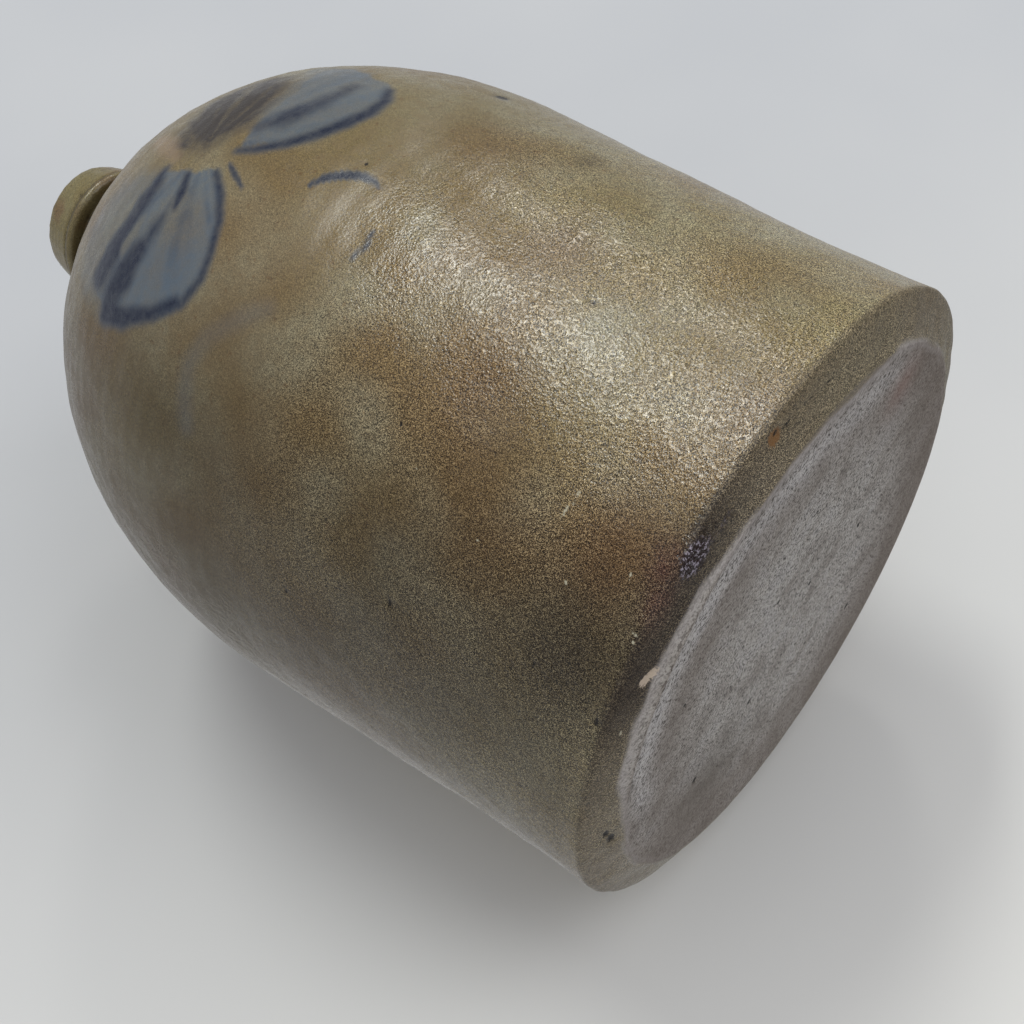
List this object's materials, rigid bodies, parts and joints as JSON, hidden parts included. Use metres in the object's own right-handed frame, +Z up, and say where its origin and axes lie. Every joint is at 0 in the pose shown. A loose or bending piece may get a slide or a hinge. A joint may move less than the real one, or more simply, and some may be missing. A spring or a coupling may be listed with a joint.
{
  "type": "stoneware crock jug",
  "caption": "Wheel-thrown stoneware jug with a beveled foot, straight wall, domed shoulder, narrow collared neck and a strap handle, for storing and pouring liquids.",
  "frame": {"origin": "centre of the flat underside, which is the middle of the base of the bounding box", "axes": "+Z up along the jug's axis, out of the mouth; +Y towards the handle; -Y is the front with the brushed flower"},
  "size_m": [0.217, 0.217, 0.3225],
  "materials": {
    "salt_glazed_stoneware": "salt glaze with an orange-peel skin over olive-brown stoneware, blue brushed flower on the front",
    "brown_slip": "smooth dark brown slip glaze",
    "collar_stoneware": "salt glaze, browner and more olive than the wall",
    "handle_stoneware": "salt glaze over pulled clay"
  },
  "bodies": {
    "root": {"jug_body": "salt_glazed_stoneware", "slip_lining": "brown_slip", "spout": "collar_stoneware", "handle_strap": "handle_stoneware", "upper_lute": "handle_stoneware", "lower_lute": "handle_stoneware"}
  },
  "joints": []
}
